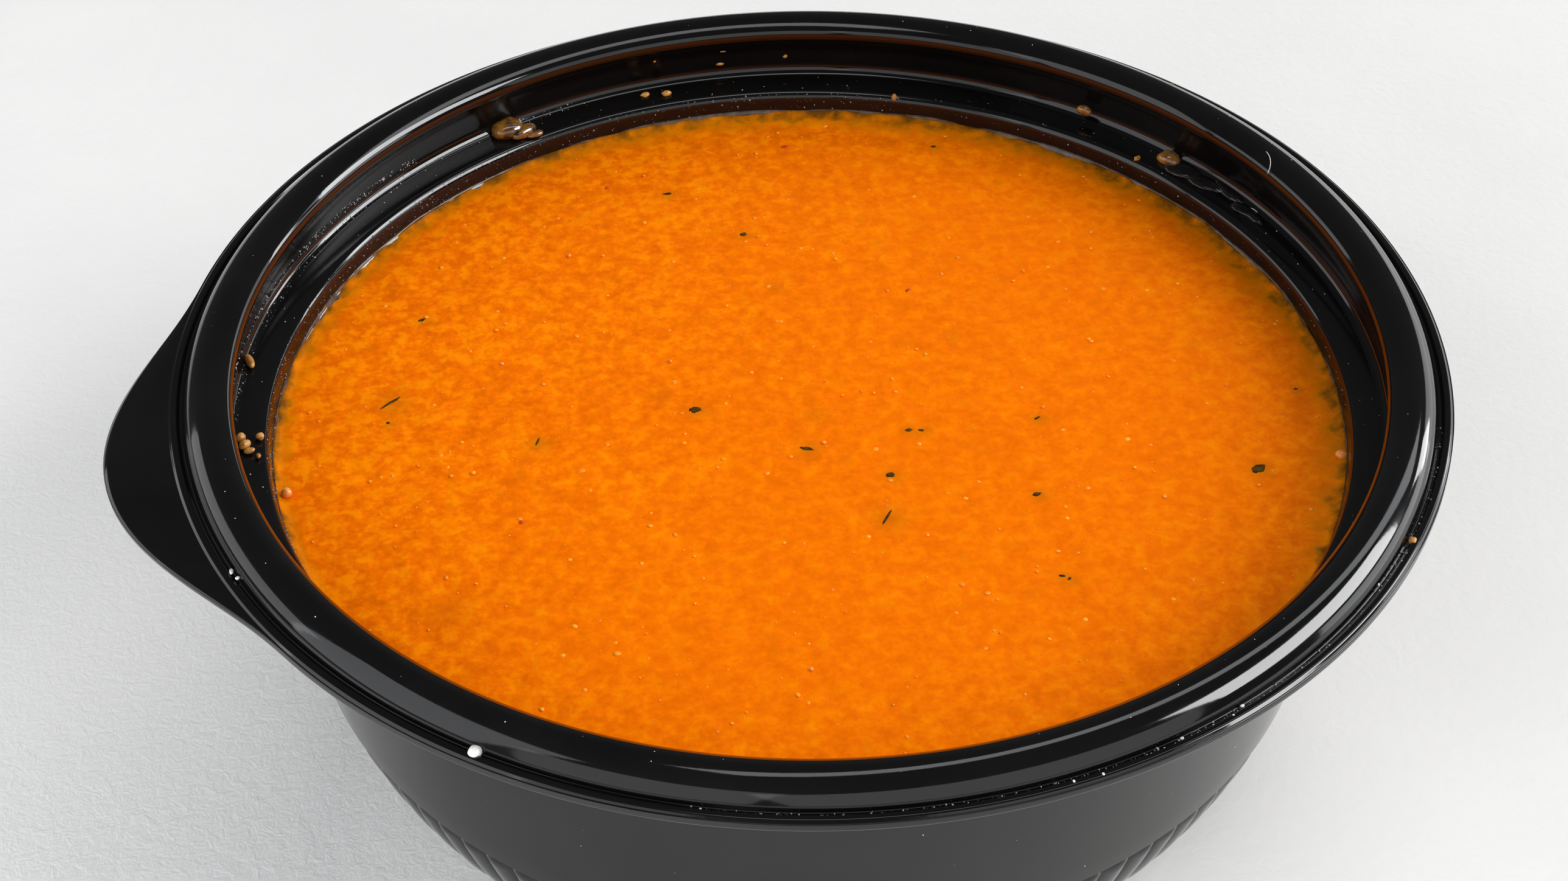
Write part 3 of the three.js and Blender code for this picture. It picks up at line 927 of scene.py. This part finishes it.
def scatterTree():
    # small round beads spread over a band of the bowl between two circles
    inputs = {"Count": 100, "Angle From": 0.0, "Angle To": 6.283, "Radius From": 0.0, "Radius To": 0.08,
              "Height From": 0.05, "Height To": 0.05, "Evenness": 1.0, "Small": 0.0001, "Large": 0.0003,
              "Rarity": 3.0, "Squash": 0.7, "Seed": 1, "Material": blackPlastic}
    tree, given = newTree("scatter", inputs)

    def chance(step, low=0.0, high=1.0):
        node = addNode(tree, "FunctionNodeRandomValue", {"data_type": "FLOAT"}, {
            2: low, 3: high, "Seed": calc(tree, "ADD", given["Seed"], step)})
        return node.outputs[1]

    def between(share, low, high):
        return calc(tree, "MULTIPLY_ADD", share, calc(tree, "SUBTRACT", high, low), low)

    angle = chance(0.0, given["Angle From"], given["Angle To"])
    share = calc(tree, "POWER", chance(11.0), given["Evenness"])
    radius = between(share, given["Radius From"], given["Radius To"])
    height = between(share, given["Height From"], given["Height To"])
    spot = vectorOf(tree, x=times(tree, radius, calc(tree, "COSINE", angle)),
                    y=times(tree, radius, calc(tree, "SINE", angle)), z=height)
    size = between(calc(tree, "POWER", chance(23.0), given["Rarity"]), given["Small"], given["Large"])
    dots = addNode(tree, "GeometryNodePoints", None, {"Count": given["Count"], "Position": spot})
    bead = addNode(tree, "GeometryNodeMeshIcoSphere", None, {"Radius": 1.0, "Subdivisions": 2})
    stretch = chance(37.0, 0.7, 1.3)
    scale = vectorOf(tree, x=times(tree, size, stretch), y=size, z=times(tree, size, given["Squash"]))
    beads = addNode(tree, "GeometryNodeInstanceOnPoints", None, {
        "Points": dots.outputs[0], "Instance": bead.outputs["Mesh"], "Scale": scale,
        "Rotation": vectorOf(tree, z=chance(51.0, 0.0, 6.283))})
    finishTree(tree, beads.outputs[0], given["Material"])
    return tree


# bands of small beads: angles, radii, heights and sizes from and to; what a band doesn't say is as usual
usualBand = {"angle": (0, 360), "even": 1.0, "rarity": 3.0, "squash": 1.0, "material": mistPaintedGlint,
             "slot": "black_plastic"}
# the mist bands strew these painted glints of condensation over the wall, ledge, ledge edge and groove
scatters = {
    "wallMistPaintedGlints": {"count": 1500, "angle": (122, 170), "radius": (83.15, 82.8), "height": (52.6, 54.9),
                 "even": 1.5, "size": (0.04, 0.17), "seed": 2},
    "cornerMistPaintedGlints": {"count": 420, "angle": (100, 176), "radius": (81.7, 83.15), "height": (52.2, 53.0),
                   "size": (0.03, 0.14), "squash": 0.9, "seed": 4},
    "edgeMistPaintedGlints": {"count": 480, "angle": (118, 196), "radius": (77.75, 77.05), "height": (51.45, 48.6),
                 "even": 1.1, "size": (0.03, 0.11), "seed": 6},
    "rightMistPaintedGlints": {"count": 380, "angle": (-18, 58), "radius": (78.4, 77.3), "height": (51.6, 49.8),
                  "even": 0.9, "size": (0.03, 0.12), "seed": 7},
    "backMistPaintedGlints": {"count": 260, "angle": (60, 125), "radius": (77.7, 77.1), "height": (51.4, 48.7),
                 "even": 1.5, "size": (0.03, 0.12), "rarity": 4.0, "seed": 9},
    "grooveMistPaintedGlints": {"count": 260, "angle": (-116, -28), "radius": (88.6, 89.3), "height": (59.1, 59.45),
                   "size": (0.03, 0.14), "squash": 0.9, "seed": 10},
    "fineBubbles": {"count": 180, "radius": (0, 73.5), "height": (47.78, 47.78), "even": 0.5,
                    "size": (0.05, 0.15), "rarity": 5.0, "squash": 0.8, "seed": 13,
                    "material": soupBubble, "slot": "soup"},
    "pulpSpecks": {"count": 700, "radius": (0, 74.5), "height": (47.72, 47.72), "even": 0.5,
                   "size": (0.1, 0.42), "rarity": 3.5, "squash": 0.28, "seed": 14,
                   "material": pulpBit, "slot": "soup"},
    "rimDust": {"count": 120, "radius": (83.4, 85.6), "height": (62.42, 62.36), "size": (0.03, 0.1),
                "squash": 0.7, "seed": 17, "material": paleDust},
    "ledgeDust": {"count": 150, "radius": (78.4, 82.4), "height": (51.55, 52.28), "size": (0.03, 0.11),
                  "squash": 0.7, "seed": 18, "material": paleDust},
    "bandDust": {"count": 90, "radius": (78.4, 75.1), "height": (49.0, 21.5), "size": (0.03, 0.12),
                 "seed": 19, "material": paleDust},
}

scatter = scatterTree()
for name, own in scatters.items():
    band = {**usualBand, **own}
    (a0, a1), (r0, r1), (h0, h1), (s0, s1) = band["angle"], band["radius"], band["height"], band["size"]
    grow(name, scatter, {
        "Count": band["count"], "Angle From": math.radians(a0), "Angle To": math.radians(a1),
        "Radius From": r0 * mm, "Radius To": r1 * mm, "Height From": h0 * mm, "Height To": h1 * mm,
        "Evenness": band["even"], "Small": s0 * mm, "Large": s1 * mm, "Rarity": band["rarity"],
        "Squash": band["squash"], "Seed": band["seed"], "Material": band["material"]})
print("beads scattered", len(scatters))


# loose fibres lying on the bowl: the control points of each one's curve
fibres = {
    "thick": 0.06, "tip": 0.35, "sides": 6, "steps": 12,
    "paths": [
        [(80.3, 22.6, 62.4), (80.6, 20.9, 62.35), (79.9, 19.4, 61.8), (78.9, 18.6, 61.1)],
        [(77.6, 22.9, 52.1), (78.6, 22.7, 52.2), (79.3, 21.8, 52.3), (79.2, 20.7, 52.3)],
        [(84.0, -3.4, 62.3), (84.9, -4.2, 62.4), (85.2, -5.6, 62.3), (84.8, -6.8, 62.3)],
    ],
}


def fibrePieces():
    # each fibre is a thin tube with narrower, closed ends
    vertices, faces = [], []
    sides, steps = fibres["sides"], fibres["steps"]
    for path in fibres["paths"]:
        spine = [bezier(path, k / steps) for k in range(steps + 1)]
        start = len(vertices)
        for k, centre in enumerate(spine):
            ahead = spine[min(k + 1, steps)] - spine[max(k - 1, 0)]
            ahead = ahead / np.linalg.norm(ahead)
            across = np.cross(ahead, (0, 0, 1))
            across = across / np.linalg.norm(across)
            up = np.cross(across, ahead)
            thick = fibres["thick"] * (fibres["tip"] if k in (0, steps) else 1)
            for side in range(sides):
                angle = 2 * math.pi * side / sides
                point = centre + thick * (math.cos(angle) * across + math.sin(angle) * up)
                vertices.append(tuple(point * mm))
        for k in range(steps):
            faces += quadRow(start + k * sides, start + (k + 1) * sides, sides, True)
        faces.append(tuple(start + side for side in reversed(range(sides))))
        faces.append(tuple(start + steps * sides + side for side in range(sides)))
    return vertices, faces


fibreStrands = newObject("fibreStrands", *fibrePieces(), paleDust)
turnOutward(fibreStrands)
keep(fibreStrands)
print("fibres made")


def tablePlane():
    half = 2500 * mm
    return newObject("table", [(-half, -half, 0), (half, -half, 0), (half, half, 0), (-half, half, 0)],
                     [(0, 1, 2, 3)], paper, smooth=False)


tablePlane()

view = {"place": (-90.9, -299.7, 308.3), "heading": -viewTurn, "down": 40.385, "roll": -0.32,
        "lens": 64.3, "sensor": 36, "nearest": 0.01}


def addCamera():
    data = bpy.data.cameras.new("camera")
    data.lens = view["lens"]
    data.sensor_width = view["sensor"]
    data.clip_start = view["nearest"]
    camera = addObject("camera", data)
    turn = (Matrix.Rotation(math.radians(view["heading"]), 4, "Z")
            @ Matrix.Rotation(math.radians(90 - view["down"]), 4, "X")
            @ Matrix.Rotation(math.radians(view["roll"]), 4, "Z"))
    camera.matrix_world = Matrix.Translation(Vector(view["place"]) * mm) @ turn
    bpy.context.scene.camera = camera


addCamera()

# at is a light's azimuth, elevation and distance, with the azimuth counted from the camera's right hand,
# anticlockwise seen from above; sizes and distances are in metres; glow is the brightness, spin turns a
# light about its own beam, and reach says which rays see it
usualLight = {"spin": 0, "color": (1.0, 1.0, 1.0), "reach": "both"}
lightHeight = 0.05
lights = {
    "windowGleam": {"at": (2, 33, 1.5), "size": (1.1, 0.66), "spin": -12, "glow": 12.0, "reach": "glossy"},
    "windowCorner": {"at": (32, 12, 1.5), "size": (0.2, 0.36), "glow": 9.0, "color": (1.0, 0.99, 0.97),
                     "reach": "glossy"},
    "windowSoft": {"at": (-2, 36, 2.4), "size": (1.76, 1.36), "glow": 5.8, "color": (1.0, 0.985, 0.97),
                   "reach": "diffuse"},
    "frontSoft": {"at": (252, 50, 0.6), "size": (0.3, 0.2), "glow": 2.4, "color": (1.0, 0.99, 0.98),
                  "reach": "diffuse"},
    "rightSoft": {"at": (74, 31, 2.4), "size": (1.76, 1.36), "glow": 4.1, "color": (1.0, 0.985, 0.97),
                  "reach": "diffuse"},
    "tableFill": {"at": (235, 0, 0.42), "size": (0.4, 0.06), "glow": 26.0, "reach": "diffuse"},
    "windowSill": {"at": (14, 5, 1.6), "size": (1.1, 0.46), "spin": -10, "glow": 2.6,
                   "color": (0.95, 0.97, 1.0)},
    "rightWall": {"at": (52, 0, 1.6), "size": (1.16, 0.62), "spin": -24, "glow": 1.5,
                  "color": (0.95, 0.97, 1.0)},
    "overheadStrip": {"at": (31, 63, 0.335), "size": (0.07, 0.5), "glow": 2.6, "color": (0.93, 0.97, 1.0),
                      "reach": "glossy"},
    "leftPanel": {"at": (163, 15, 1.7), "size": (1.2, 0.68), "spin": 10, "glow": 1.45,
                  "color": (0.97, 0.97, 1.0)},
    "cornerPanel": {"at": (202, 27, 0.8), "size": (0.54, 0.72), "glow": 1.45, "color": (0.95, 0.97, 1.0)},
    "frontLeft": {"at": (243, 20, 1.7), "size": (1.15, 1.25), "glow": 0.95},
    "frontRight": {"at": (298, 20, 1.7), "size": (2.2, 1.25), "glow": 0.95},
}


def addLight(name, light):
    azimuth, elevation, away = light["at"]
    width, height = light["size"]
    data = bpy.data.lights.new(name, "AREA")
    data.shape = "RECTANGLE"
    data.size, data.size_y = width, height
    data.energy = light["glow"] * math.pi * width * height
    data.color = light["color"]
    lamp = addObject(name, data)
    lamp.visible_diffuse = light["reach"] != "glossy"
    lamp.visible_glossy = light["reach"] != "diffuse"
    c, s = cosSin(azimuth + view["heading"])
    level, rise = cosSin(elevation)
    toward = Vector((c * level, s * level, rise))
    place = Vector((0, 0, lightHeight)) + toward * away
    facing = toward.to_track_quat("Z", "Y").to_matrix().to_4x4()
    spin = Matrix.Rotation(math.radians(light["spin"]), 4, "Z")
    lamp.matrix_world = Matrix.Translation(place) @ facing @ spin


for name, own in lights.items():
    addLight(name, {**usualLight, **own})

roomLight = {"color": (0.9, 0.95, 1.0), "strength": 0.09}
world = bpy.data.worlds.new("studio")
world.use_nodes = True
fill(world.node_tree, world.node_tree.nodes["Background"], {
    "Color": (*roomLight["color"], 1.0), "Strength": roomLight["strength"]})
bpy.context.scene.world = world
bpy.context.scene.view_settings.view_transform = "Standard"
print("camera and lights set")
